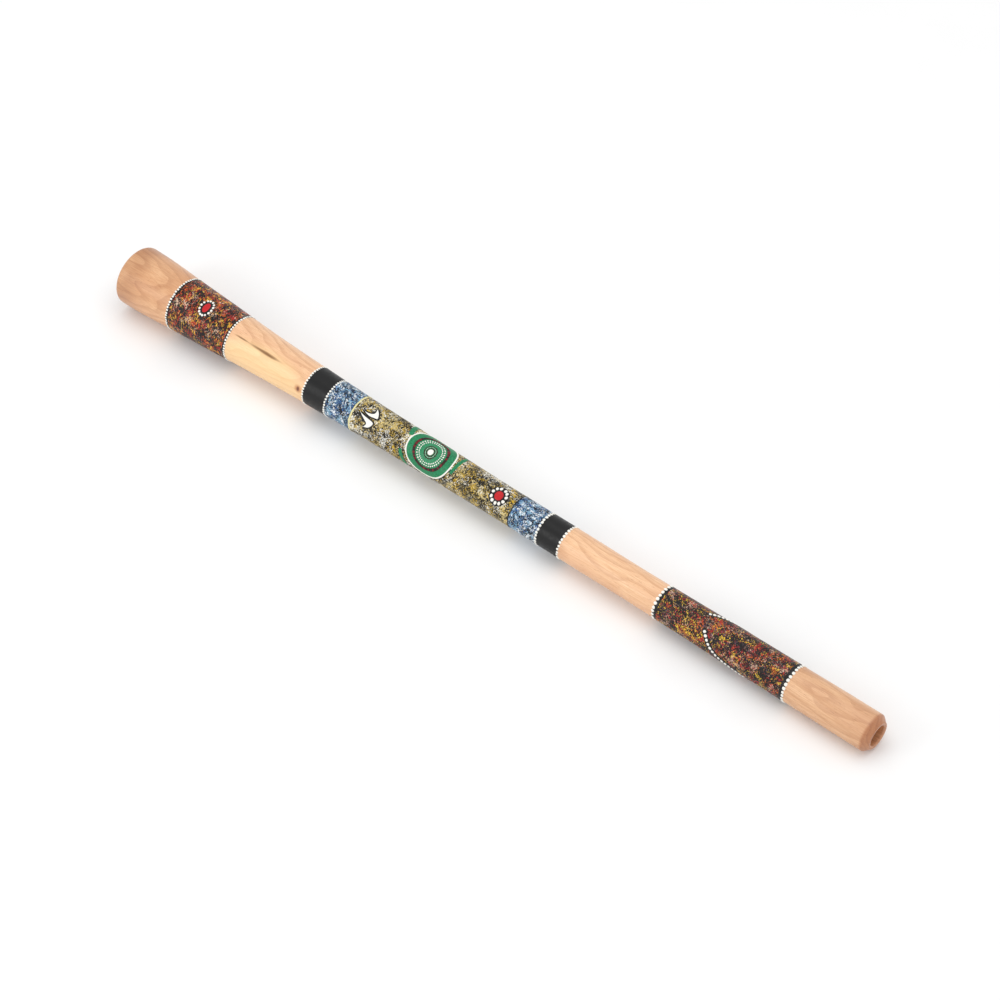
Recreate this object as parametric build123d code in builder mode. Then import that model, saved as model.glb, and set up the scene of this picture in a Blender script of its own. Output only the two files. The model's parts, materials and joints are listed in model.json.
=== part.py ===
"""A painted didgeridoo lying at rest: one bored log with a flared bell and a bevelled blowing rim, and
the layers of acrylic paint on it, each of them a solid that stands proud of the layer below.

+X runs along the tube from the bell to the blowing rim, +Z is up, and the origin is under the middle of
the tube on the surface that it lies on. A station is a distance along the tube from the bell's end face.
An angle around the tube is counted from the middle of its painted face, positive towards +Y."""

import os
from math import asin, cos, degrees, pi, radians, sin

from build123d import *

# The log
length = 1300
outline_points = [  # station and outer radius
    (8, 45.0), (40, 44.3), (105, 40.3), (170, 36.9), (245, 32.6), (340, 29.3), (440, 26.3),
    (560, 24.7), (700, 23.4), (830, 23.9), (915, 23.5), (1000, 24.4), (1180, 26.2), (1290, 26.7),
]
rim_start, rim_radius = outline_points[-1]
bell_edge, bell_radius = outline_points[0]
rim_face_radius = 19.8
bore_radius = 14.5
cone_start = 500  # where the drilled bore meets the bell's cone
bell_bore_radius = 35
reach = 60  # clear of the log all round
press_depth = 20  # how far a flat shape's prism goes each way from the log's surface

# How it lies: on the bell's widest ring and on the blowing rim
rest_station, rest_radius = 30, 44.76
tilt = asin((rest_radius - rim_radius) / (rim_start - rest_station))
bell_x = (-length * cos(tilt) + (bell_radius - rim_face_radius) * sin(tilt)) / 2
bell_z = rest_radius * cos(tilt) + rest_station * sin(tilt)
face_turn = 36  # the painted face looks this many degrees to the front of straight up

# Paint
coat = 0.25  # the coloured bands
ground = 0.5  # the top of a motif's ground, over its band
top = 0.75  # the top of a motif's lines and fills, over its ground
bands = {
    "bell_speckle_coat": (96.5, 207.5),
    "far_black_band": (348, 389),
    "far_blue_coat": (389, 434),
    "ochre_coat": (434, 716),
    "near_blue_coat": (716, 764),
    "near_black_band": (764, 803),
    "mouth_speckle_coat": (959, 1172.5),
}
dome_share = 0.22  # a dot's height over its width
dot_gap = 0.01  # keeps a dot's flat foot off the round paint below it
dot_rings = {  # station, spacing round the ring, dot diameter
    "bell_band_end_dots": (98.3, 3.6, 2.9),
    "bell_band_inner_dots": (205.8, 3.6, 2.9),
    "far_black_outer_dots": (349.8, 3.6, 3.0),
    "far_black_inner_dots": (389, 3.7, 3.0),
    "near_black_outer_dots": (764, 4.8, 3.6),
    "near_black_inner_dots": (801.5, 4.8, 3.4),
    "mouth_band_inner_dots": (961, 5.5, 4.4),
    "mouth_band_end_dots": (1170.5, 5.5, 4.4),
}
edge_lines = {"far_edge_line": (433, 435.5), "near_edge_line": (714.8, 717)}

# Motifs: station and angle of the middle, then sizes
bell_rosette = (152.8, 18)
bell_rosette_ground = (9.6, 13)
bell_rosette_heart = (5.2, 8.4)
near_rosette = (689.5, 12)
near_rosette_ground = 15
near_rosette_heart = 6.6
medallion = (568.8, 13.5)
medallion_field_reach = 35.5
medallion_red = (25.2, 22.6)
medallion_brown = (8.6, 6.4)
medallion_heart = 3.8
fine_dot_rings = ((19.2, 46), (16.2, 40))  # distance from the medallion's middle, and dots
side_strokes = (  # station, angle of the middle, width along the tube, length round it
    (610.8, 24, 5.5, 27), (526.5, 62, 8, 17), (529, -56, 6, 12),
)
track_station, track_angle = 460, 1
upper_track = [(-16, 8.6), (-7, 7), (2.2, 8.8), (2.2, 18.6), (9.5, 15), (14, 9.5), (13.6, 4.4), (2, 1.9)]
lower_track = [(-16, 3.2), (-11, -1.3), (-3.6, -5.4), (-3.6, -14.6), (5.5, -13.2), (11, -8.4), (12.4, -2.6),
               (3.6, 0.2)]
track_outline = 1.1
upper_arc = [(1031, 50), (1038, 61), (1047, 72), (1058, 83), (1071, 93)]
lower_arc = [(1040, -8), (1045, -21), (1050, -34), (1056, -47), (1064, -59), (1074, -69), (1086, -77)]
arc_dot_width = 3.2
dab_size = (7.6, 4.6)
upper_slant, lower_slant = 27, -35

along = Vector(cos(tilt), 0, -sin(tilt))
up = Vector(sin(tilt), 0, cos(tilt))
front = Vector(0, -1, 0)
bell_centre = Vector(bell_x, 0, bell_z)
tube_axis = Axis(bell_centre, along)
section = Plane(origin=bell_centre, x_dir=along, z_dir=front)  # station across, radius upwards

with BuildLine() as log_line:
    Spline(*outline_points)


def outline_at(station):
    """The log's outer radius at a station, and how fast it grows along the tube."""
    low, high = 0.0, 1.0
    for _ in range(30):
        middle = (low + high) / 2
        if (log_line.line @ middle).X < station:
            low = middle
        else:
            high = middle
    direction = log_line.line % low
    return (log_line.line @ low).Y, direction.Y / direction.X


def across(station):
    """The plane square to the tube at a station, facing the blowing rim."""
    return Plane(origin=bell_centre + along * station, x_dir=up, z_dir=along)


def on_log(station, around, height=0):
    """The plane that touches the log at a station and angle: +X towards the rim, +Y round the tube."""
    turn = radians(face_turn - around)
    radius, slope = outline_at(station)
    outward = up * cos(turn) + front * sin(turn)
    foot = bell_centre + along * station + outward * (radius + height)
    return Plane(origin=foot, x_dir=along + outward * slope, z_dir=outward - along * slope)


def raised(lift):
    """The outline's points, moved out by lift."""
    return [(station, radius + lift) for station, radius in outline_points]


def layer(under, over):
    """A film over the whole log, from under to over above the wood."""
    with BuildPart() as film:
        with BuildSketch(section):
            with BuildLine():
                inner = Spline(*raised(under))
                outer = Spline(*raised(over))
                Line(inner @ 0, outer @ 0)
                Line(inner @ 1, outer @ 1)
            make_face()
        revolve(axis=tube_axis)
    return film.part


band_film, ground_film, top_film = layer(0, coat), layer(coat, ground), layer(ground, top)


def hand_in(piece, name):
    """Labels a finished piece and writes its file."""
    piece.part.label = name
    export_step(piece.part, f"parts/{name}.step")


def dots(name, places, width, base):
    """A node of separate domed dots that stand on a surface base above the wood."""
    height = dome_share * width
    ball = (width * width / 4 + height * height) / (2 * height)
    with BuildPart() as dot:
        with Locations((0, 0, height - ball)):
            Sphere(ball)
        split(bisect_by=Plane.XY)
    with BuildPart() as piece:
        with Locations(*[on_log(station, around, base + dot_gap) for station, around in places]):
            add(dot.part)
    hand_in(piece, name)


def film_between(name, film, first, last):
    """The part of a film between two stations."""
    with BuildPart() as piece:
        add(film)
        with BuildSketch(across(first)):
            Circle(reach)
        extrude(amount=last - first, mode=Mode.INTERSECT)
    hand_in(piece, name)


def stamp(name, film, shapes):
    """The parts of a film under flat shapes that are pressed straight down onto the log.
    Each shape is a plane on the log and a sketch on it."""
    pressed = []
    for plane, shape in shapes:
        with BuildPart() as mark:
            with BuildSketch(plane):
                add(shape)
            extrude(amount=press_depth, both=True)
            add(film, mode=Mode.INTERSECT)
        pressed.append(mark.part)
    with BuildPart() as piece:
        add(pressed)
    hand_in(piece, name)


def ring_patch(name, film, middle, outer, inner=0):
    """The part of a film that lies within outer, and beyond inner, of a place on the log."""
    with BuildPart() as piece:
        add(film)
        with Locations(on_log(*middle)):
            Sphere(outer, mode=Mode.INTERSECT)
            if inner:
                Sphere(inner, mode=Mode.SUBTRACT)
    hand_in(piece, name)


def circle_of(middle, distance, count, stretch=1.0):
    """Places evenly spaced round a place on the log; stretch is their reach round the tube over along it."""
    station, around = middle
    for step in range(count):
        turn = 2 * pi * step / count
        side = degrees(distance * stretch * sin(turn) / outline_at(station)[0])
        yield station + distance * cos(turn), around + side


os.makedirs("parts", exist_ok=True)

# The log itself, bored from the rim and reamed to a cone at the bell
with BuildPart() as wood_body:
    with BuildSketch(section):
        with BuildLine():
            Spline(*outline_points)
            FilletPolyline(
                (rim_start, rim_radius), (rim_start + 2.5, rim_radius), (length, rim_face_radius),
                (length, bore_radius), (cone_start, bore_radius), (0, bell_bore_radius),
                (0, bell_radius), (bell_edge, bell_radius),
                radius=[2.5, 1.5, 2, 400, 2.5, 6],
            )
        make_face()
    revolve(axis=tube_axis)
hand_in(wood_body, "wood_body")

# Bands of colour
for name, (first, last) in bands.items():
    film_between(name, band_film, first, last)
for name, (first, last) in edge_lines.items():
    film_between(name, ground_film, first, last)

# Rings of raised dots at the edges of the bands
for name, (station, spacing, width) in dot_rings.items():
    count = round(2 * pi * outline_at(station)[0] / spacing)
    places = [(station, 360 * step / count) for step in range(count)]
    dots(name, places, width, coat)

# Rosettes: a dark ground, a red heart and a ring of white dots
with BuildSketch() as oval_ground:
    Ellipse(*bell_rosette_ground)
with BuildSketch() as oval_heart:
    Ellipse(*bell_rosette_heart)
with BuildSketch() as round_ground:
    Circle(near_rosette_ground)
with BuildSketch() as round_heart:
    Circle(near_rosette_heart)
stamp("bell_rosette_ground", ground_film, [(on_log(*bell_rosette), oval_ground.sketch)])
stamp("bell_rosette_heart", top_film, [(on_log(*bell_rosette), oval_heart.sketch)])
stamp("near_rosette_ground", ground_film, [(on_log(*near_rosette), round_ground.sketch)])
stamp("near_rosette_heart", top_film, [(on_log(*near_rosette), round_heart.sketch)])
dots("bell_rosette_dots", circle_of(bell_rosette, 8.9, 16, 1.35), 2.6, ground)
dots("near_rosette_dots", circle_of(near_rosette, 10.8, 11, 1.05), 4.2, ground)

# The medallion: rings round one place on the log
ring_patch("medallion_field", ground_film, medallion, medallion_field_reach)
ring_patch("medallion_border", top_film, medallion, medallion_field_reach, medallion_field_reach - 1.6)
ring_patch("medallion_red_ring", top_film, medallion, *medallion_red)
ring_patch("medallion_brown_ring", top_film, medallion, *medallion_brown)
fine_places = [place for distance, count in fine_dot_rings for place in circle_of(medallion, distance, count)]
dots("medallion_fine_dots", fine_places, 1.4, ground)
ring_patch("medallion_heart", top_film, medallion, medallion_heart)
strokes = []
for station, around, width, run in side_strokes:
    with BuildSketch() as stroke:
        SlotOverall(run, width, rotation=90)
    strokes.append((on_log(station, around), stroke.sketch))
stamp("medallion_side_strokes", ground_film, strokes)

# A pair of track marks, each a white fill inside a black line
track_plane = on_log(track_station, track_angle)
track_outlines, track_fills = [], []
for points in (upper_track, lower_track):
    with BuildSketch() as fill:
        with BuildLine():
            Polyline(*points, close=True)
        make_face()
    with BuildSketch() as outline:
        add(fill.sketch)
        offset(amount=track_outline)
    track_fills.append((track_plane, fill.sketch))
    track_outlines.append((track_plane, outline.sketch))
stamp("track_outlines", ground_film, track_outlines)
stamp("track_fills", top_film, track_fills)

# Two curved rows of white dots, each dot on its own short black dab
dabs = []
for places, slant in ((upper_arc, upper_slant), (lower_arc, lower_slant)):
    with BuildSketch() as dab:
        SlotOverall(*dab_size, rotation=slant)
    dabs += [(on_log(*place), dab.sketch) for place in places]
stamp("arc_strokes", ground_film, dabs)
dots("arc_dots", upper_arc + lower_arc, arc_dot_width, ground)
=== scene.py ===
"""The looks of a painted didgeridoo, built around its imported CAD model.

Every shape on the log is laid out in the log's own unrolled space, in millimetres: a station along the tube
from the bell's end face, and an angle round it in degrees from the middle of the painted face. The
function skin() turns those into places in the row frame, in metres."""

import json
import math

import bpy
import numpy as np
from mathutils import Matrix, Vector
from mathutils.geometry import delaunay_2d_cdt


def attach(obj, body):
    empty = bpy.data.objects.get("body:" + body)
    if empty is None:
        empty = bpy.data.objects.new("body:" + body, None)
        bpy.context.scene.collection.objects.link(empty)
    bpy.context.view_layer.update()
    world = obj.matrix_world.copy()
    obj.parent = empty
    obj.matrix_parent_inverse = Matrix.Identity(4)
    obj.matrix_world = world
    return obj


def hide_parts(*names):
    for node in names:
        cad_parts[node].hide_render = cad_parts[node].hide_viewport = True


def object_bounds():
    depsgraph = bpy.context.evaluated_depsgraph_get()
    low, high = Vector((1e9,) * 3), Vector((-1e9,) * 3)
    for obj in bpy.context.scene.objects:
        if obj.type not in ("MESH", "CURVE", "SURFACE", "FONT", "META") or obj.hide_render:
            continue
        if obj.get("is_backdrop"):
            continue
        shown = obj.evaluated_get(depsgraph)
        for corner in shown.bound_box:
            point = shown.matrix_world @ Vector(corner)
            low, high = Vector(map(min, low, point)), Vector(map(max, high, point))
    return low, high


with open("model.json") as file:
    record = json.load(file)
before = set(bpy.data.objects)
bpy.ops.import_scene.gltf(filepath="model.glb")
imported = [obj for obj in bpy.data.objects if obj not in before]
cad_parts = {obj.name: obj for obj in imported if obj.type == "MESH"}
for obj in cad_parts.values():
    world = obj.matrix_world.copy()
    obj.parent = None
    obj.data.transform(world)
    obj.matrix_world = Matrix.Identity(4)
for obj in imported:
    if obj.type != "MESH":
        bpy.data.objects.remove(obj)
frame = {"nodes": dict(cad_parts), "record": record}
cad_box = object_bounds()

MM = 0.001
FACE_TURN = 36  # the painted face looks this many degrees to the front of straight up
COAT, GROUND, TOP = 0.25, 0.5, 0.75  # how far each layer of paint stands above the wood
BURIED = -0.15  # the height of a film's hidden underside over what it sits on
BELL_EDGE, RIM_START = 8, 1290  # stations where the free-form outline starts and ends
RIM_FACE_RADIUS = 19.8
BELL_BORE_RADIUS = 35
CONE_START = 500  # station where the bore starts to open towards the bell
INSIDE_BOX = 0.02  # how far the widest ring stays inside the CAD box
WIDEST = cad_box[1][1] / MM - INSIDE_BOX
AROUND = 144  # points round the log
SEED = 7
rng = np.random.default_rng(SEED)

# ---------------------------------------------------------------- the log's surface, read from the CAD model

mounts = {mount["name"]: mount for mount in frame["record"]["mounts"]}
bore = mounts["blowing_bore"]
along = Vector(bore["axis"]).normalized()
up = Vector((-along.z, 0, along.x))
front = Vector((0, -1, 0))
bore_point = Vector(bore["pos_m"])
bell_centre = bore_point + along * along.dot(Vector(mounts["bell_face"]["pos_m"]) - bore_point)
LENGTH = along.dot(Vector(mounts["rim_face"]["pos_m"]) - bell_centre) / MM
BORE_RADIUS = bore["dims"]["r_mm"]


def bore_wall(station):
    """The bore's radius at stations: a cone in the bell and a straight tube past it."""
    return BELL_BORE_RADIUS + (BORE_RADIUS - BELL_BORE_RADIUS) * np.clip(station / CONE_START, 0, 1)


def outline_from_cad():
    """Stations and radii of the CAD log's outer surface, in order."""
    thinnest_wall, rounding, same_station = 4, 0.01, 0.06
    mesh = frame["nodes"]["wood_body"].data
    points = np.empty(len(mesh.vertices) * 3)
    mesh.vertices.foreach_get("co", points)
    offset = points.reshape(-1, 3) - np.array(bell_centre)
    station = offset @ np.array(along) / MM
    radius = np.hypot(offset[:, 1], offset @ np.array(up)) / MM
    between = (station >= BELL_EDGE - rounding) & (station <= RIM_START + rounding)
    outer = between & (radius > bore_wall(station) + thinnest_wall)
    stations = np.unique(station[outer].round(1))
    radii = [radius[outer & (abs(station - s) < same_station)].max() for s in stations]
    return stations, np.array(radii)


outline_stations, outline_radii = outline_from_cad()
outline_slopes = np.gradient(outline_radii, outline_stations)


def log_radius(station):
    """The log's outer radius at stations, on a smooth curve through the CAD outline."""
    s = np.clip(station, outline_stations[0], outline_stations[-1])
    i = np.clip(np.searchsorted(outline_stations, s) - 1, 0, len(outline_stations) - 2)
    gap = outline_stations[i + 1] - outline_stations[i]
    t = (s - outline_stations[i]) / gap
    return (
        (2 * t**3 - 3 * t**2 + 1) * outline_radii[i]
        + (t**3 - 2 * t**2 + t) * gap * outline_slopes[i]
        + (3 * t**2 - 2 * t**3) * outline_radii[i + 1]
        + (t**3 - t**2) * gap * outline_slopes[i + 1]
    )


WAVES = [  # what a spokeshave and sandpaper leave: length along the tube, waves round it, depth
    (230, 1, 0.05), (140, 2, 0.05), (90, 3, 0.035), (61, 1, 0.03), (43, 4, 0.02), (170, 0, 0.04),
]
wave_phases = rng.uniform(0, 2 * math.pi, len(WAVES))


def hand_work(station, angle):
    """The height of the hand-finished wood over the CAD surface, which is never above 0."""
    total = 0
    for (length, turns, depth), phase in zip(WAVES, wave_phases):
        wave = np.sin(2 * math.pi * station / length + turns * np.radians(angle) + phase)
        total = total + depth * (wave - 1)
    return total / 2


def off_axis(station, angle, radius):
    """Places in the row frame, in metres, at stations, angles and distances from the tube's axis."""
    turn = np.radians(FACE_TURN - angle)
    outward = np.cos(turn)[..., None] * np.array(up) + np.sin(turn)[..., None] * np.array(front)
    place = np.array(bell_centre) + MM * station[..., None] * np.array(along)
    return place + MM * radius[..., None] * outward


def skin(station, angle, lift=0.0):
    """Places in the row frame, in metres, at stations and angles, lift millimetres above the wood."""
    station, angle, lift = np.broadcast_arrays(*(np.asarray(v, float) for v in (station, angle, lift)))
    return off_axis(station, angle, log_radius(station) + hand_work(station, angle) + lift)


def round_log(middle, step_along, step_round):
    """The station and angle that lie these millimetres along and round the log from a middle."""
    station = middle[0] + np.asarray(step_along, float)
    return station, middle[1] + np.degrees(np.asarray(step_round, float) / log_radius(station))


# ---------------------------------------------------------------- nodes and materials

def linear(*display, dim=1.0):
    """A display colour, 0 to 255, as the linear colour that shaders use, dimmed by a factor."""
    shares = (c / 255 for c in display)
    return tuple(dim * (c / 12.92 if c <= 0.0404 else ((c + 0.055) / 1.055) ** 2.4) for c in shares)


class Shader:
    """A material with short calls for the nodes that these finishes are made of."""

    def __init__(self, name):
        self.material = bpy.data.materials.new(name)
        self.material.use_nodes = True
        self.tree = self.material.node_tree
        self.surface = self.tree.nodes["Principled BSDF"]
        where = self.node("ShaderNodeTexCoord").outputs["Object"]
        self.place = self.node("ShaderNodeVectorMath", operation="SCALE", inputs={0: where, "Scale": 1 / MM})

    def node(self, kind, inputs=None, **settings):
        new = self.tree.nodes.new(kind)
        for key, value in settings.items():
            setattr(new, key, value)
        for key, value in (inputs or {}).items():
            self.put(new.inputs[key], value)
        return new

    def put(self, socket, value):
        if isinstance(value, bpy.types.Node):
            value = value.outputs[0]
        if isinstance(value, bpy.types.NodeSocket):
            self.tree.links.new(value, socket)
        elif socket.type == "RGBA" and len(value) == 3:
            socket.default_value = (*value, 1)
        else:
            socket.default_value = value

    def math(self, operation, *values):
        return self.node("ShaderNodeMath", dict(enumerate(values)), operation=operation)

    def times(self, first, second):
        return self.math("MULTIPLY", first, second)

    def vector(self, operation, *values):
        return self.node("ShaderNodeVectorMath", dict(enumerate(values)), operation=operation)

    def length(self, vector):
        return self.node("ShaderNodeVectorMath", {0: vector}, operation="LENGTH").outputs["Value"]

    def dot(self, first, second):
        inputs = {0: first, 1: second}
        return self.node("ShaderNodeVectorMath", inputs, operation="DOT_PRODUCT").outputs["Value"]

    def stretched(self, stretch, shift=(0, 0, 0)):
        """Places in millimetres, multiplied and then shifted."""
        return self.vector("MULTIPLY_ADD", self.place, stretch, shift)

    def noise(self, scale, where=None, detail=3.0, rough=0.55, distortion=0.0):
        inputs = {"Vector": where or self.place, "Scale": scale, "Detail": detail, "Roughness": rough,
                  "Distortion": distortion}
        return self.node("ShaderNodeTexNoise", inputs).outputs[0]

    def ramp(self, value, low, high, to_low=0.0, to_high=1.0):
        """value taken smoothly from between low and high to between to_low and to_high."""
        inputs = {"Value": value, "From Min": low, "From Max": high, "To Min": to_low, "To Max": to_high}
        return self.node("ShaderNodeMapRange", inputs, interpolation_type="SMOOTHSTEP").outputs[0]

    def mix(self, factor, first, second, blend="MIX"):
        new = self.node("ShaderNodeMix", data_type="RGBA", blend_type=blend)
        for index, value in ((0, factor), (6, first), (7, second)):
            self.put(new.inputs[index], value)
        return new.outputs[2]

    def near(self, middle, reach, soft=0.4):
        """1 close to a place in the row frame, 0 past reach, which is three sizes in millimetres."""
        offset = self.vector("SUBTRACT", self.place, tuple(Vector(middle) / MM))
        scaled = self.vector("MULTIPLY", offset, tuple(1 / r for r in reach))
        return self.ramp(self.length(scaled), 1.0, soft)

    def bump(self, height, depth):
        """Relief of this depth, in millimetres, on the surface."""
        new = self.node("ShaderNodeBump", {"Height": height, "Distance": depth * MM, "Strength": 1.0})
        self.put(self.surface.inputs["Normal"], new)

    def finish(self, colour, roughness, coat=0.0, coat_roughness=0.3, specular=0.5):
        self.put(self.surface.inputs["Base Color"], colour)
        self.put(self.surface.inputs["Roughness"], roughness)
        self.surface.inputs["Coat Weight"].default_value = coat
        self.surface.inputs["Coat Roughness"].default_value = coat_roughness
        self.surface.inputs["Specular IOR Level"].default_value = specular
        return self.material


PAINT_GLOSS = {"coat": 0.05, "coat_roughness": 0.25, "specular": 0.28}
DABBED_GLOSS = {"coat": 0.06, "coat_roughness": 0.25, "specular": 0.26}
BRUSH_RELIEF = 0.05


def dabbed_paint(name, base, dabs):
    """Paint sponged on in layers. Each dab is a colour, the size of its specks and of its patches in
    millimetres, how much it covers from 0 to 1, and how much longer its specks are round the tube."""
    crispness = 0.012  # half the range of noise over which a speck's edge fades
    speck_relief, depth, roughness = 0.22, 0.10, 0.42
    shader = Shader(name)
    colour = linear(*base)
    relief = 0.5
    for index, (tint, speck, patch, cover, stretch) in enumerate(dabs):
        shift = (37.0 * index + 11, 53.0 * index + 5, 71.0 * index + 3)
        drawn_out = shader.stretched((1, 1 / stretch, 1 / stretch), shift)
        specks = shader.noise(0.66 / speck, drawn_out, 3.0, 0.66, 0.5)
        patches = shader.noise(1 / patch, shader.stretched((1, 1, 1), shift), 2.0, 0.5, 0.4)
        amount = shader.math("ADD", specks, shader.math("MULTIPLY_ADD", patches, 0.62, -0.31))
        edge = 0.68 - 0.36 * cover
        mask = shader.ramp(amount, edge - crispness, edge + crispness)
        shade = shader.ramp(shader.noise(1.7 / speck, None, 2.0), 0.35, 0.65)
        light = shader.mix(shade, linear(*tint, dim=0.72), linear(*tint))
        colour = shader.mix(mask, colour, light)
        relief = shader.math("MULTIPLY_ADD", mask, speck_relief, relief)
    shader.bump(relief, depth)
    gloss = shader.ramp(shader.noise(0.4), 0.3, 0.7, roughness - 0.07, roughness + 0.08)
    return shader.finish(colour, gloss, **DABBED_GLOSS)


def thick_paint(name, tint, dark, roughness, specks=0.0):
    """Plain thick acrylic with brush drag and thin places, down to dark times its tint, and some grit."""
    shader = Shader(name)
    drag = shader.noise(0.9, shader.stretched((0.6, 1.6, 1.6)), 4.0, 0.6)
    cloud = shader.noise(0.22, None, 2.0)
    colour = shader.mix(shader.ramp(drag, 0.32, 0.68), linear(*tint, dim=dark), linear(*tint))
    colour = shader.mix(shader.ramp(cloud, 0.35, 0.75, 0, 0.25), colour, linear(*tint, dim=dark**2))
    if specks:
        grit = shader.ramp(shader.noise(1.6, None, 3.0), 0.6, 0.68)
        colour = shader.mix(shader.times(grit, specks), colour, linear(*tint, dim=0.4))
    shader.bump(drag, BRUSH_RELIEF)
    gloss = shader.ramp(cloud, 0.3, 0.7, roughness - 0.06, roughness + 0.08)
    return shader.finish(colour, gloss, **PAINT_GLOSS)


BROWN_ENDS = [  # station, reach along the tube, tint: both ends are browner, the bell's lip most of all
    (35, 150, (0.80, 0.70, 0.60)), (-10, 60, (0.74, 0.66, 0.60)), (1240, 140, (0.80, 0.73, 0.67)),
]
STREAK = [(268, 60, 2.8), (277, 24, 3.7), (228, 24, 1.8)]  # station, reach along the tube and across it
STREAK_ANGLE = 3
SAPWOOD, KNOT = (275, -48), (341, -35)
BEVEL_TINT = (0.72, 0.56, 0.47)


def wood_finish():
    """Pale lacquered hardwood: growth rings that run as long loops, fine pores, a zone of yellow sapwood
    with a dark streak along it, a knot, browner ends and end grain on the rim's bevel."""
    shader = Shader("lacquered_wood")
    warp = shader.noise(0.018, shader.stretched((0.35, 1, 1)), 2.0, 0.5)
    pith = tuple(bell_centre / MM + Vector((0, 9, -16)))
    drawn_out = shader.vector("MULTIPLY", shader.vector("SUBTRACT", shader.place, pith), (0.022, 1, 1))
    rings = shader.math("MULTIPLY_ADD", shader.length(drawn_out), 0.34, shader.times(warp, 6.5))
    rings = shader.math("FRACT", rings)
    late = shader.times(shader.ramp(rings, 0.35, 0.93), shader.ramp(rings, 1.0, 0.95))
    fibre = shader.noise(0.9, shader.stretched((0.035, 1, 1)), 5.0, 0.62, 0.3)
    pores = shader.ramp(shader.noise(2.4, shader.stretched((0.06, 1, 1)), 2.0), 0.64, 0.74)
    flecks = shader.noise(0.55, shader.stretched((0.22, 1, 1), (90, 0, 0)), 4.0, 0.7)
    flecks = shader.ramp(flecks, 0.60, 0.72)
    broad = shader.noise(0.02, shader.stretched((0.5, 1.3, 1.3)), 3.0, 0.5)

    colour = shader.mix(shader.ramp(fibre, 0.3, 0.7), linear(222, 170, 126), linear(246, 203, 160))
    colour = shader.mix(shader.ramp(broad, 0.35, 0.65, 0, 0.45), colour, linear(226, 172, 132))
    colour = shader.mix(shader.times(late, 0.3), colour, linear(178, 116, 74))
    colour = shader.mix(shader.times(flecks, 0.5), colour, linear(160, 100, 60))
    colour = shader.mix(shader.times(pores, 0.6), colour, linear(132, 82, 48))

    sap = shader.near(skin(*SAPWOOD), (105, 42, 42), 0.55)
    colour = shader.mix(shader.times(sap, 0.5), colour, linear(252, 218, 156))
    cloudy = shader.ramp(broad, 0.3, 0.62, 0.55, 1.0)
    for station, reach, tint in BROWN_ENDS:
        mask = shader.times(shader.near(skin(station, 0), (reach, 300, 300), 0.45), cloudy)
        colour = shader.mix(mask, colour, shader.mix(1.0, colour, tint, "MULTIPLY"))
    patchy = shader.ramp(shader.noise(0.10, shader.stretched((0.2, 1, 1)), 3.0), 0.30, 0.55, 0.55, 0.9)
    for station, reach, across in STREAK:
        mask = shader.near(skin(station, STREAK_ANGLE), (reach, across, across), 0.2)
        colour = shader.mix(shader.times(mask, patchy), colour, linear(128, 84, 34))
    knot = skin(*KNOT)
    halo = shader.times(shader.near(knot, (9, 8, 8), 0.2), 0.75)
    colour = shader.mix(halo, colour, linear(176, 98, 44))
    colour = shader.mix(shader.near(knot, (3.4, 5.0, 5.0), 0.3), colour, linear(116, 62, 30))
    station = shader.math("SUBTRACT", shader.dot(shader.place, along), along.dot(bell_centre) / MM)
    bevel = shader.ramp(station, RIM_START - 2.5, RIM_START + 2)
    colour = shader.mix(bevel, colour, shader.mix(1.0, colour, BEVEL_TINT, "MULTIPLY"))
    shader.bump(shader.math("MULTIPLY_ADD", pores, -0.7, fibre), 0.06)
    gloss = shader.ramp(fibre, 0.3, 0.7, 0.36, 0.48)
    return shader.finish(colour, gloss, coat=0.35, coat_roughness=0.32)


# ---------------------------------------------------------------- meshes

def make_piece(name, points, faces, material, nodes=(), slot=None):
    """A smooth-shaded object that rides on the one body."""
    mesh = bpy.data.meshes.new(name)
    mesh.from_pydata(np.asarray(points).reshape(-1, 3).tolist(), [], faces)
    mesh.validate()
    mesh.polygons.foreach_set("use_smooth", [True] * len(mesh.polygons))
    mesh.materials.append(material)
    piece = bpy.data.objects.new(name, mesh)
    bpy.context.scene.collection.objects.link(piece)
    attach(piece, "root")
    if nodes:
        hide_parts(*nodes)
    return piece


def loop_faces(rows, columns):
    """Faces of rows of points joined in a ring both ways, as on a torus."""
    faces = []
    for row in range(rows):
        below = row * columns
        above = (row + 1) % rows * columns
        for column in range(columns):
            after = (column + 1) % columns
            faces.append((below + column, below + after, above + after, above + column))
    return faces


def turned(name, profile, material, nodes, slot):
    """A solid turned on the tube's axis from a closed list of stations, radii and hand-worked or not."""
    angles = np.arange(AROUND) * 360 / AROUND
    rows = []
    for station, radius, worked in profile:
        radii = radius + (hand_work(station, angles) if worked else 0) + np.zeros(AROUND)
        rows.append(off_axis(np.full(AROUND, station), angles, np.minimum(radii, WIDEST)))
    return make_piece(name, np.array(rows), loop_faces(len(rows), AROUND), material, nodes, slot)


RIM_SHOULDER = ((1.2, 0.12), (2.2, 0.5), (3.0, 1.1))  # past the rim's start, and how far it has dropped
RIM_BEVEL_RUN = 5.6  # length of the bevel along the tube
BORE_LIP = ((0, 2.4), (0.4, 1.1), (1.2, 0.3), (2.2, 0))  # depth from the rim's face, and how much wider
BELL_CORNER = 6  # radius of the bell's outer edge


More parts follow.
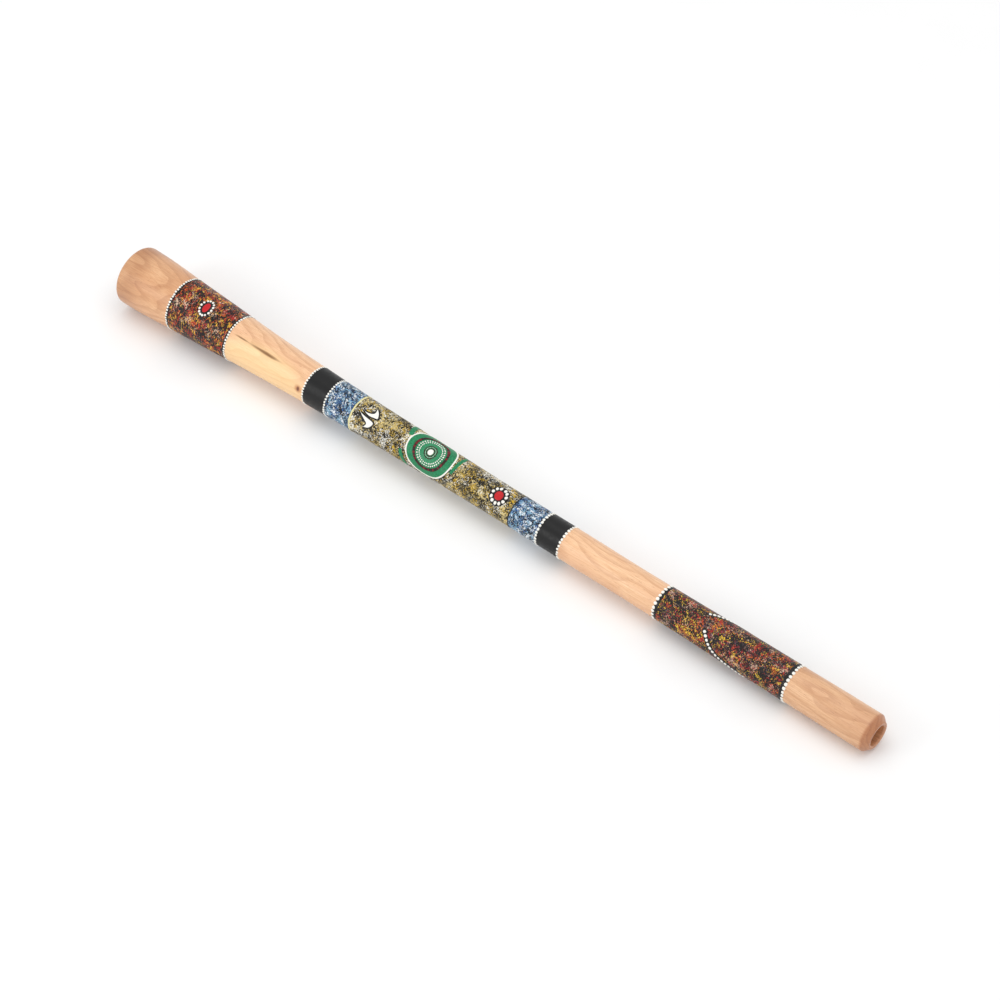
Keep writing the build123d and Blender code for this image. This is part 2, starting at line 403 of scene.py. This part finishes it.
def log_profile():
    """The log's closed section, from the bell's edge over the rim and back through the bore. Each item is
    a station, a radius and whether the surface is hand-worked there."""
    body = [(s, float(log_radius(s)), True) for s in np.linspace(BELL_EDGE, RIM_START, 520)]
    rim_radius = body[-1][1]
    rim = [(RIM_START + run, rim_radius - drop, True) for run, drop in RIM_SHOULDER]
    bevel_start, bevel_radius, _ = rim[-1]
    bevel_drop = bevel_radius - RIM_FACE_RADIUS - 0.7
    rim += [(bevel_start + RIM_BEVEL_RUN * t, bevel_radius - t * bevel_drop, True)
            for t in (0.33, 0.66, 0.92)]
    rim += [(LENGTH - 0.25, RIM_FACE_RADIUS + 0.1, True), (LENGTH, RIM_FACE_RADIUS - 0.7, True)]
    rim += [(LENGTH - depth, BORE_RADIUS + wider, False) for depth, wider in BORE_LIP]
    tube = [(s, BORE_RADIUS, False) for s in np.linspace(LENGTH - 30, CONE_START + 8, 20)]
    cone = [(s, float(bore_wall(s)), False) for s in np.linspace(CONE_START - 10, 3, 24)]
    lip = [(1.1, BELL_BORE_RADIUS + 0.6, False), (0, BELL_BORE_RADIUS + 2.2, False)]
    outer = float(log_radius(BELL_EDGE))
    lip += [(BELL_CORNER * (1 - math.sin(t)), outer - BELL_CORNER * (1 - math.cos(t)), False)
            for t in np.linspace(math.pi / 2, 0.15, 8)]
    return body + rim + tube + cone + lip


def ragged(count, size, waves=(3, 5, 9, 14, 23)):
    """A closed wandering line of count offsets, such as a hand-painted edge."""
    turn = np.arange(count) * 2 * math.pi / count
    line = sum(np.sin(k * turn + rng.uniform(0, 2 * math.pi)) / k**0.5 for k in waves)
    return size * line / 2.2


def sleeve(name, first, last, base, top, rough_edge, material, nodes, slot):
    """A film of paint all round the log between two stations, with softly wandering edges."""
    angles = np.arange(AROUND) * 360 / AROUND
    start, end = first + ragged(AROUND, rough_edge), last + ragged(AROUND, rough_edge)
    soft = min(0.5, (last - first) / 4)
    steps = max(2, int((last - first) / 2.5))
    shoulder = base + 0.4 * (top - base)
    rows = [skin(start, angles, base + BURIED), skin(start, angles, shoulder)]
    for t in np.linspace(0, 1, steps + 1):
        rows.append(skin(start + soft + t * (end - start - 2 * soft), angles, top))
    rows += [skin(end, angles, shoulder), skin(end, angles, base + BURIED)]
    return make_piece(name, np.array(rows), loop_faces(len(rows), AROUND), material, nodes, slot)


BEAD_RINGS = (  # shares of a dot's width and of its height
    (1.0, -0.25), (1.0, 0.1), (0.93, 0.42), (0.78, 0.74), (0.52, 0.94), (0.25, 1.0),
)
BEAD_SIDES = 16
UNEVEN, LEAN = 0.07, 0.12  # how far a dot's outline and its peak stray, as shares of its width
FULL_TURN = 6.28


def beads(name, dots, base, material, nodes=(), slot="white_paint", height=0.2):
    """Raised dots of thick paint, height high for their width. Each dot is a station, an angle, its width
    along the tube and its width round it."""
    points, faces = [], []
    turn = np.arange(BEAD_SIDES) * 2 * math.pi / BEAD_SIDES
    for station, angle, wide, tall in dots:
        start = len(points)
        oval = 0.6 * np.sin(2 * turn + rng.uniform(0, FULL_TURN))
        lobes = 0.4 * np.sin(3 * turn + rng.uniform(0, FULL_TURN))
        edge = (1 + UNEVEN * (oval + lobes)) * rng.uniform(1 - UNEVEN, 1 + UNEVEN)
        lean = rng.uniform(-LEAN, LEAN, 2)
        rise = height * min(wide, tall) * rng.uniform(0.85, 1.1)
        for share, level in BEAD_RINGS:
            step_along = wide / 2 * (share * edge * np.cos(turn) + lean[0] * (1 - share))
            step_round = tall / 2 * (share * edge * np.sin(turn) + lean[1] * (1 - share))
            points.extend(skin(*round_log((station, angle), step_along, step_round), base + rise * level))
        top_at = round_log((station, angle), wide / 2 * lean[0], tall / 2 * lean[1])
        points.append(skin(*top_at, base + rise * 1.01))
        points.append(skin(station, angle, base - rise * 0.25))
        crown, foot = len(points) - 2, len(points) - 1
        for row in range(len(BEAD_RINGS) - 1):
            for side in range(BEAD_SIDES):
                after = (side + 1) % BEAD_SIDES
                low, high = start + row * BEAD_SIDES, start + (row + 1) * BEAD_SIDES
                faces.append((low + side, low + after, high + after, high + side))
        last = start + (len(BEAD_RINGS) - 1) * BEAD_SIDES
        for side in range(BEAD_SIDES):
            after = (side + 1) % BEAD_SIDES
            faces.append((last + side, last + after, crown))
            faces.append((start + after, start + side, foot))
    return make_piece(name, points, faces, material, nodes, slot)


def ring_of_dots(station, spacing, width):
    """Dots all the way round the log at a station, unevenly as a hand sets them."""
    wander = 0.35
    count = round(2 * math.pi * float(log_radius(station)) / spacing)
    for step in range(count):
        angle = 360 * (step + rng.uniform(-0.09, 0.09)) / count
        size = width * rng.uniform(0.9, 1.07, 2)
        yield station + rng.uniform(-wander, wander), angle, size[0], size[1]


def circle_of_dots(middle, distance, count, width, tall=None, start=0.0, stretch=1.0, shake=0.12):
    """Dots round a place on the log."""
    for step in range(count):
        turn = 2 * math.pi * (step + start + rng.uniform(-shake, shake)) / count
        station, angle = round_log(middle, distance * math.cos(turn), distance * stretch * math.sin(turn))
        size = rng.uniform(0.9, 1.08, 2)
        yield float(station), float(angle), width * size[0], (tall or width) * size[1]


def inside(points, outline):
    """Which points lie inside a closed outline."""
    x, y = points[:, 0], points[:, 1]
    within = np.zeros(len(points), bool)
    previous = outline[-1]
    for corner in outline:
        crosses = (corner[1] > y) != (previous[1] > y)
        slope = (previous[0] - corner[0]) / (previous[1] - corner[1] + 1e-12)
        within ^= crosses & (x < slope * (y - corner[1]) + corner[0])
        previous = corner
    return within


PER_SIDE = 6  # points that a smooth line has from one corner to the next


def rounded(corners):
    """A closed smooth line through corners, as a Catmull-Rom spline."""
    corners = np.asarray(corners, float)
    before, after, beyond = np.roll(corners, 1, 0), np.roll(corners, -1, 0), np.roll(corners, -2, 0)
    out = []
    for p0, p1, p2, p3 in zip(before, corners, after, beyond):
        for t in np.arange(PER_SIDE) / PER_SIDE:
            square, cube = 2 * p0 - 5 * p1 + 4 * p2 - p3, 3 * p1 - p0 - 3 * p2 + p3
            out.append(0.5 * (2 * p1 + (p2 - p0) * t + square * t**2 + cube * t**3))
    return np.array(out)


def outset(outline, distance):
    """A closed line moved outwards, or inwards by a negative distance."""
    ahead = np.roll(outline, -1, 0) - np.roll(outline, 1, 0)
    normal = np.stack([ahead[:, 1], -ahead[:, 0]], 1)
    normal /= np.linalg.norm(normal, axis=1)[:, None] + 1e-9
    after = np.roll(outline, -1, 0)
    area = np.sum(outline[:, 0] * after[:, 1] - after[:, 0] * outline[:, 1])
    return outline + normal * distance * (1 if area > 0 else -1)


def patch(middle, outline, base, top, grid=1.3, soft=0.35):
    """Points and faces of a closed film of paint under an outline in millimetres round a middle."""
    shoulder = outset(outline, -soft)
    low, high = outline.min(0), outline.max(0)
    across, round_it = np.arange(low[0], high[0], grid), np.arange(low[1], high[1], grid)
    cells = np.stack(np.meshgrid(across, round_it), -1).reshape(-1, 2)
    cells = cells[inside(cells, outset(outline, -soft - 0.6 * grid))]
    count = len(outline)
    flat = np.concatenate([outline, shoulder, cells])
    edges = [(i, (i + 1) % count) for i in range(count)]
    result = delaunay_2d_cdt([Vector(p) for p in flat], edges, [], 0, 1e-5)
    flat = np.array([tuple(v) for v in result[0]])
    origins = result[3]
    on_edge = [any(o < count for o in sources) for sources in origins]
    centres = np.array([flat[list(face)].mean(0) for face in result[2]])
    kept = [tuple(f) for f, keep in zip(result[2], inside(centres, outline)) if keep]
    station, angle = round_log(middle, flat[:, 0], flat[:, 1])
    lifts = np.where(on_edge, base + 0.35 * (top - base), top)
    upper, lower = skin(station, angle, lifts), skin(station, angle, base + BURIED)
    size = len(flat)
    faces = list(kept) + [tuple(size + i for i in reversed(f)) for f in kept]
    sides = {side: True for face in kept for side in zip(face, face[1:] + face[:1])}
    faces += [(b, a, size + a, size + b) for a, b in sides if (b, a) not in sides]
    return np.concatenate([upper, lower]), faces


def patches(name, items, base, top, material, nodes=(), slot=None, **options):
    """One piece of several films, each a middle and an outline. Each is painted a little over the last."""
    overlap = 0.02
    points, faces = [], []
    for index, (middle, outline) in enumerate(items):
        start = len(points)
        film, film_faces = patch(middle, np.asarray(outline), base, top + overlap * index, **options)
        points.extend(film)
        faces.extend(tuple(start + i for i in face) for face in film_faces)
    return make_piece(name, points, faces, material, nodes, slot)


def blob(wide, tall, wobble=0.02, count=64):
    """A hand-painted round outline."""
    turn = np.arange(count) * 2 * math.pi / count
    size = 1 + ragged(count, wobble, (2, 3, 5, 8))
    return np.stack([wide * size * np.cos(turn), tall * size * np.sin(turn)], 1)


HOOP_SECTION = (  # across from the middle to the edge, and height
    (1, BURIED), (1, 0.3), (0.7, 0.85), (0.3, 1), (-0.3, 1), (-0.7, 0.85), (-1, 0.3), (-1, BURIED),
)


def hoop(name, middle, outline, width, base, top, material, nodes, slot):
    """A painted line of this width that follows a closed outline, on its inner side."""
    count = len(outline)
    spread = width / 2 * (1 + ragged(count, 0.12, (3, 7, 13)))
    centre = outset(outline, -width / 2)
    ahead = outset(centre, 1.0) - centre
    rows = []
    for share, level in HOOP_SECTION:
        line = centre + ahead * (share * spread)[:, None]
        lift = base + (top - base) * level if level > 0 else base + level
        rows.append(skin(*round_log(middle, line[:, 0], line[:, 1]), lift))
    rows.reverse()
    return make_piece(name, np.array(rows), loop_faces(len(rows), count), material, nodes, slot)


def along_line(line, at, marks):
    """The points on a line at these marks, which at gives for each of the line's own points."""
    return np.stack([np.interp(marks, at, line[:, k]) for k in (0, 1)], -1)


def ribbon(line, width, tip):
    """The outline of a brush stroke along a list of points, narrowing to a share tip at its ends."""
    line = np.asarray(line, float)
    marks = np.linspace(0, len(line) - 1, len(line) * PER_SIDE)
    dense = along_line(line, np.arange(len(line)), marks)
    ahead = np.gradient(dense, axis=0)
    side = np.stack([-ahead[:, 1], ahead[:, 0]], 1) / np.linalg.norm(ahead, axis=1)[:, None]
    share = np.linspace(0, 1, len(dense))
    spread = width / 2 * (tip + (1 - tip) * np.sin(math.pi * share) ** 0.5)
    spread = spread * rng.uniform(0.93, 1.07, len(dense))
    return np.concatenate([dense + side * spread[:, None], (dense - side * spread[:, None])[::-1]])


# ---------------------------------------------------------------- the finishes

wood = wood_finish()
bell_speckle = dabbed_paint("bell_band_paint", (18, 10, 10), [
    ((84, 18, 18), 1.5, 14, 0.60, 2.2), ((30, 44, 34), 1.3, 12, 0.26, 1.8),
    ((166, 34, 30), 1.4, 12, 0.37, 2.4), ((14, 10, 10), 1.5, 13, 0.46, 1.8),
    ((214, 92, 34), 1.2, 12, 0.22, 2.6), ((240, 184, 60), 1.1, 11, 0.20, 2.4),
    ((230, 196, 168), 0.9, 16, 0.12, 2.0), ((12, 9, 10), 1.3, 12, 0.34, 1.8),
])
mouth_speckle = dabbed_paint("mouth_band_paint_and_sheen", (18, 12, 12), [
    # The purple-grey dabs (92, 76, 92) are partly the band's own paint and partly a painted sheen: the
    # lacquer's hazy reflection put into the colour
    ((86, 22, 22), 1.6, 18, 0.54, 1.4), ((92, 76, 92), 1.3, 20, 0.28, 1.3),
    ((48, 54, 30), 1.4, 15, 0.30, 1.3), ((180, 34, 30), 1.5, 14, 0.38, 1.5),
    ((16, 11, 11), 1.6, 13, 0.48, 1.3), ((206, 100, 38), 1.2, 16, 0.17, 1.4),
    ((236, 194, 60), 1.2, 14, 0.19, 1.4), ((220, 180, 156), 0.9, 16, 0.14, 1.4),
    ((12, 9, 10), 1.4, 14, 0.36, 1.2),
])
blue_speckle = dabbed_paint("blue_band_paint", (16, 24, 36), [
    ((62, 100, 138), 1.5, 11, 0.56, 1.3), ((34, 92, 168), 1.3, 10, 0.30, 1.3),
    ((18, 22, 32), 1.4, 10, 0.38, 1.3), ((132, 176, 204), 1.2, 9, 0.36, 1.5),
    ((240, 246, 250), 1.0, 8, 0.27, 1.5), ((14, 18, 26), 1.2, 9, 0.22, 1.3),
])
ochre_speckle = dabbed_paint("ochre_band_paint", (26, 22, 12), [
    ((96, 86, 44), 1.6, 16, 0.54, 1.3), ((82, 78, 78), 1.4, 20, 0.28, 1.3),
    ((188, 156, 60), 1.5, 15, 0.42, 1.4), ((24, 20, 12), 1.5, 14, 0.46, 1.3),
    ((226, 204, 140), 1.2, 15, 0.34, 1.5), ((248, 246, 236), 1.1, 17, 0.26, 1.5),
    ((20, 16, 10), 1.3, 13, 0.38, 1.3), ((228, 184, 34), 1.1, 12, 0.12, 1.3),
])
black = thick_paint("black_paint", (17, 17, 18), 0.7, 0.42)
near_black = thick_paint("motif_black_paint", (22, 20, 20), 0.7, 0.36)
white = thick_paint("white_dot_paint", (246, 244, 236), 0.93, 0.38)
cream = thick_paint("cream_line_paint", (240, 230, 170), 0.8, 0.42, specks=0.6)
red = thick_paint("red_paint", (206, 26, 34), 0.72, 0.4, specks=0.35)
maroon = thick_paint("maroon_paint", (124, 26, 34), 0.6, 0.4)
brown = thick_paint("brown_paint", (58, 34, 24), 0.6, 0.4)
pale_green = thick_paint("pale_green_paint", (196, 232, 206), 0.9, 0.4)


def green_finish(middle):
    """Green acrylic with fine pale strokes that run out from the medallion's middle."""
    stroke_count = 42
    shader = Shader("green_paint")
    offset = shader.vector("SUBTRACT", shader.place, tuple(Vector(skin(*middle, TOP)) / MM))
    turn = math.radians(FACE_TURN - middle[1])
    sideways = up * math.sin(turn) - front * math.cos(turn)
    x, y = shader.dot(offset, along), shader.dot(offset, sideways)
    heading = shader.math("ARCTAN2", y, x)
    reach = shader.math("POWER", shader.math("ADD", shader.times(x, x), shader.times(y, y)), 0.5)
    rays = shader.ramp(shader.math("SINE", shader.times(heading, stroke_count)), -0.2, 0.9)
    zone = shader.times(shader.ramp(reach, 9.2, 10.4), shader.ramp(reach, 15.2, 14.2))
    dashes = shader.ramp(shader.noise(1.3, None, 3.0), 0.38, 0.6)
    drag = shader.noise(0.8, shader.stretched((1.4, 0.5, 0.5)), 4.0, 0.6)
    colour = shader.mix(shader.ramp(drag, 0.3, 0.7), linear(8, 98, 60), linear(38, 146, 96))
    strokes = shader.times(shader.times(rays, zone), dashes)
    colour = shader.mix(shader.times(strokes, 0.5), colour, linear(118, 192, 150))
    shader.bump(drag, BRUSH_RELIEF)
    return shader.finish(colour, shader.ramp(drag, 0.3, 0.7, 0.36, 0.48), **PAINT_GLOSS)


# ---------------------------------------------------------------- the log and its bands

turned("log", log_profile(), wood, ["wood_body"], "wood")

BANDS = [  # CAD node, stations, raggedness of its edges, finish, slot
    ("bell_speckle_coat", 97.2, 207.0, 0.35, bell_speckle, "speckle_paint"),
    ("far_black_band", 349.3, 389, 0.15, black, "black_paint"),
    ("far_blue_coat", 389, 434, 0.15, blue_speckle, "blue_paint"),
    ("ochre_coat", 434, 716, 0.15, ochre_speckle, "ochre_paint"),
    ("near_blue_coat", 716, 764, 0.15, blue_speckle, "blue_paint"),
    ("near_black_band", 764, 801.9, 0.15, black, "black_paint"),
    ("mouth_speckle_coat", 960.4, 1171.2, 0.35, mouth_speckle, "speckle_paint"),
]
for node, first, last, rough_edge, finish, slot in BANDS:
    sleeve(f"{node}_film", first, last, 0, COAT, rough_edge, finish, [node], slot)
sleeve("far_edge_line_film", 433.0, 435.4, COAT, GROUND, 0.5, cream, ["far_edge_line"], "cream_paint")
sleeve("near_edge_line_film", 715.2, 716.8, COAT, GROUND, 0.4, near_black, ["near_edge_line"], "black_paint")

STRIPS = [  # the dark strips that the dots at a speckled band's ends stand on
    ("mouth_band_inner", 960.8, 966.5), ("mouth_band_outer", 1164.5, 1170.8),
    ("bell_band_end", 97.6, 101.5), ("bell_band_inner", 202.5, 206.6),
]
STRIP_HEIGHT = COAT + 0.08
for end, first, last in STRIPS:
    sleeve(f"{end}_strip", first, last, COAT, STRIP_HEIGHT, 0.6, near_black, (), "black_paint")

DOT_RINGS = [  # CAD node, station, spacing, width
    ("bell_band_end_dots", 98.3, 4.3, 3.3), ("bell_band_inner_dots", 205.8, 4.3, 3.3),
    ("far_black_outer_dots", 349.8, 4.3, 3.4), ("far_black_inner_dots", 389, 4.3, 3.4),
    ("near_black_outer_dots", 764, 5.0, 4.0), ("near_black_inner_dots", 801.5, 5.0, 4.0),
    ("mouth_band_inner_dots", 961, 5.9, 4.7), ("mouth_band_end_dots", 1170.5, 5.9, 4.7),
]
for node, station, spacing, width in DOT_RINGS:
    beads(f"{node}_paint", ring_of_dots(station, spacing, width), COAT, white, [node])

# ---------------------------------------------------------------- rosettes

BELL_ROSETTE, NEAR_ROSETTE = (152.8, 18), (689.5, 12)
patches("bell_rosette_ground_film", [(BELL_ROSETTE, blob(9.6, 13, 0.03))], COAT, GROUND, near_black,
        ["bell_rosette_ground"], "black_paint")
patches("bell_rosette_heart_film", [(BELL_ROSETTE, blob(4.8, 7.8, 0.03))], GROUND, TOP + 0.2, red,
        ["bell_rosette_heart"], "red_paint")
beads("bell_rosette_dots_paint", circle_of_dots(BELL_ROSETTE, 9.2, 14, 3.6, stretch=1.34), GROUND, white,
      ["bell_rosette_dots"])
patches("near_rosette_ground_film", [(NEAR_ROSETTE, blob(14.8, 14.6, 0.05))], COAT, GROUND, near_black,
        ["near_rosette_ground"], "black_paint")
patches("near_rosette_heart_film", [(NEAR_ROSETTE, blob(6.3, 6.6, 0.04))], GROUND, TOP + 0.25, red,
        ["near_rosette_heart"], "red_paint")
beads("near_rosette_dots_paint", circle_of_dots(NEAR_ROSETTE, 10.9, 11, 4.4, 4.6, start=0.3), GROUND, white,
      ["near_rosette_dots"])

# ---------------------------------------------------------------- medallion

MEDALLION = (568.8, 13.5)
green = green_finish(MEDALLION)
rim_line = blob(39.2, 36.8, 0.008, 120)
patches("medallion_field_film", [(MEDALLION, outset(rim_line, -0.8))], COAT, GROUND, green,
        ["medallion_field"],
        "green_paint")
hoop("medallion_border_line", MEDALLION, rim_line, 2.3, GROUND - 0.2, TOP + 0.15, white, ["medallion_border"],
     "white_paint")
hoop("medallion_dark_ring", MEDALLION, blob(27.6, 26.1, 0.012, 96), 4.2, GROUND, TOP, brown,
     ["medallion_red_ring"], "maroon_paint")
SQUASH = 0.945  # the medallion is this much narrower round the log than along it


def ring_dabs(width, tall, start, share):
    """Dabs on the medallion's dark ring, of which only a share is painted."""
    dabs = circle_of_dots(MEDALLION, 25.4, 36, width, tall, start=start, stretch=SQUASH, shake=0.3)
    return [dab for dab in dabs if rng.uniform() < share]


beads("medallion_maroon_dabs", ring_dabs(4.2, 3.8, 0, 0.6), TOP - 0.1, maroon, slot="maroon_paint",
      height=0.14)
beads("medallion_black_dabs", ring_dabs(3.4, 3.2, 0.5, 0.45), TOP - 0.1, near_black, slot="black_paint",
      height=0.15)
fine = [dot for distance, width in ((20.2, 2.2), (16.8, 1.9))
        for dot in circle_of_dots(MEDALLION, distance, 36, width, stretch=SQUASH, shake=0.08)]
beads("medallion_fine_dots_paint", fine, GROUND, white, ["medallion_fine_dots"], height=0.25)
inner = [dot for distance, count in ((9.0, 26), (5.9, 18))
         for dot in circle_of_dots(MEDALLION, distance, count, 2.1, shake=0.15)]
beads("medallion_brown_dots", inner, GROUND, brown, ["medallion_brown_ring"], "maroon_paint", height=0.2)
beads("medallion_pale_dots", circle_of_dots(MEDALLION, 7.45, 22, 1.2), GROUND, pale_green,
      slot="green_paint")
patches("medallion_heart_film", [(MEDALLION, blob(4.2, 4.3, 0.04))], GROUND, TOP + 0.35, white,
        ["medallion_heart"], "white_paint", grid=0.9)

# Green strokes beside the medallion, each with a row of dark dots between it and the border
STROKES = [  # middle, line in millimetres round it, width, and the side where its dots are
    ((612, 24), [(-1.2, -15), (0, -6), (1, 4), (1.4, 14), (0.6, 22)], 5.6, -1),
    ((525, 62), [(3.2, -15), (0.6, -8), (-1.6, 0), (-2.6, 9), (-2.6, 17)], 7.6, 1),
    ((528, -55), [(-3, 12), (0.6, 4), (5, -5), (10, -13)], 6.4, 1),
]
SIDE_DOT, SIDE_DOT_COUNT, SIDE_DOT_GAP = 1.7, 11, 1.2
stroke_films = [(middle, ribbon(line, width, 0.7)) for middle, line, width, _ in STROKES]
patches("medallion_side_strokes_film", stroke_films, COAT, GROUND, green, ["medallion_side_strokes"],
        "green_paint")
side_dots = []
for middle, line, width, side in STROKES:
    line = np.array(line, float)
    marks = np.linspace(0.2, len(line) - 1.2, SIDE_DOT_COUNT)
    for step_along, step_round in along_line(line, np.arange(len(line)), marks):
        station, angle = round_log(middle, step_along + side * (width / 2 + SIDE_DOT_GAP), step_round)
        side_dots.append((float(station), float(angle), SIDE_DOT, SIDE_DOT))
beads("medallion_side_dots", side_dots, COAT, near_black, slot="black_paint")

# ---------------------------------------------------------------- track marks and dotted strokes

TRACKS = (460, 0)
UPPER_TRACK = [
    (-16, 8.8), (-7, 6.9), (1.5, 8.6), (4.4, 12), (2.4, 18.6), (8.4, 15.4), (12.9, 9.6), (13.8, 5.4),
    (8.8, 4.2), (1, 3.1), (-7, 4.6),
]
LOWER_TRACK = [
    (-15.8, 3.2), (-10.6, -0.9), (-3.4, -4.7), (1.2, -7.6), (-0.6, -12), (-3, -14.6), (5.6, -12.4),
    (10.4, -8.2), (12.2, -2.9), (8.8, -0.6), (2, 0.2), (-8, 1.5),
]
TRACK_INSET, TRACK_OUTLINE = 0.7, 2.1
fills = [outset(rounded(track), -TRACK_INSET) for track in (UPPER_TRACK, LOWER_TRACK)]
patches("track_outlines_film", [(TRACKS, outset(fill, TRACK_OUTLINE)) for fill in fills], COAT, GROUND,
        near_black, ["track_outlines"], "black_paint", grid=1.0)
patches("track_fills_film", [(TRACKS, fill) for fill in fills], GROUND, TOP + 0.1, white, ["track_fills"],
        "white_paint", grid=1.0, soft=0.25)

UPPER_ARC = [(1031, 50), (1038, 60), (1047, 71), (1058, 83), (1071, 94), (1086, 104), (1102, 112)]
LOWER_ARC = [
    (1040, -8), (1045, -21), (1050, -34), (1056, -47), (1064, -59), (1074, -69), (1086, -77), (1099, -84),
    (1113, -90),
]
ARC_WIDTH, ARC_DOT_SPACING, ARC_DOT = 8.6, 5.6, (4.4, 4.0)
arc_dots, arc_strokes = [], []
for arc in (UPPER_ARC, LOWER_ARC):
    places = np.array(arc, float)
    middle = tuple(places[len(places) // 2])
    steps_round = np.radians(places[:, 1] - middle[1]) * log_radius(places[:, 0])
    line = np.stack([places[:, 0] - middle[0], steps_round], 1)
    before, after = line[0] - (line[1] - line[0]) * 0.7, line[-1] + (line[-1] - line[-2]) * 0.5
    arc_strokes.append((middle, ribbon(np.concatenate([[before], line, [after]]), ARC_WIDTH, 0.3)))
    run = np.concatenate([[0], np.cumsum(np.linalg.norm(np.diff(line, axis=0), axis=1))])
    for step in along_line(line, run, np.arange(0, run[-1], ARC_DOT_SPACING)):
        station, angle = round_log(middle, *step)
        arc_dots.append((float(station), float(angle), *ARC_DOT))
patches("arc_strokes_film", arc_strokes, COAT, GROUND, near_black, ["arc_strokes"], "black_paint")
beads("arc_dots_paint", arc_dots, GROUND, white, ["arc_dots"])

# ---------------------------------------------------------------- floor, light and camera

FLOOR_SIZE = 30  # metres
floor_shader = Shader("studio_floor")
floor_tone = floor_shader.mix(floor_shader.noise(0.01, None, 2.0), (0.90,) * 3, (0.93,) * 3)
floor_mesh = bpy.data.meshes.new("studio_floor")
half = FLOOR_SIZE / 2
corners = [(-half, -half, 0), (half, -half, 0), (half, half, 0), (-half, half, 0)]
floor_mesh.from_pydata(corners, [], [(0, 1, 2, 3)])
floor_mesh.materials.append(floor_shader.finish(floor_tone, 0.9, specular=0.1))
floor = bpy.data.objects.new("studio_floor", floor_mesh)
bpy.context.scene.collection.objects.link(floor)
floor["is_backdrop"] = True


def softbox(name, place, size, power):
    """A square soft lamp at a place, facing the log."""
    lamp = bpy.data.lights.new(name, "AREA")
    lamp.size, lamp.energy = size, power
    holder = bpy.data.objects.new(name, lamp)
    holder.location = place
    holder.rotation_euler = (-Vector(place)).to_track_quat("-Z", "Y").to_euler()
    bpy.context.scene.collection.objects.link(holder)


softbox("front_softbox", (-1.3, -2.6, 1.5), 1.6, 20)
softbox("overhead_softbox", (0.2, 0.2, 3.2), 3.0, 30)
AIR_BRIGHTNESS = 0.86
world = bpy.data.worlds.new("studio_air")
world.use_nodes = True
background = world.node_tree.nodes["Background"]
background.inputs["Color"].default_value = (1, 1, 1, 1)
background.inputs["Strength"].default_value = AIR_BRIGHTNESS
bpy.context.scene.world = world

CAMERA_AZIMUTH, CAMERA_ELEVATION = math.radians(40.12), math.radians(46.43)
CAMERA_DISTANCE = 3.916
CAMERA_STATION, CAMERA_SHIFT = 683, 0.68  # the station that it aims at, and how far up the picture from there
SENSOR, LENS = 36, 105.3
back = Vector((math.sin(CAMERA_AZIMUTH) * math.cos(CAMERA_ELEVATION),
               -math.cos(CAMERA_AZIMUTH) * math.cos(CAMERA_ELEVATION), math.sin(CAMERA_ELEVATION)))
sideways = along.cross(back).normalized()
lens = bpy.data.cameras.new("photo_camera")
lens.sensor_width, lens.lens = SENSOR, LENS
camera = bpy.data.objects.new("photo_camera", lens)
aim = bell_centre + along * CAMERA_STATION * MM - sideways * CAMERA_SHIFT * MM
camera.location = aim + back * CAMERA_DISTANCE
camera.rotation_euler = back.to_track_quat("Z", "Y").to_euler()
bpy.context.scene.collection.objects.link(camera)
bpy.context.scene.camera = camera
bpy.context.scene.view_settings.view_transform = "Standard"

boxes = {"cad": cad_box, "visual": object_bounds()}
{name: [list(corner) for corner in box] for name, box in boxes.items()}
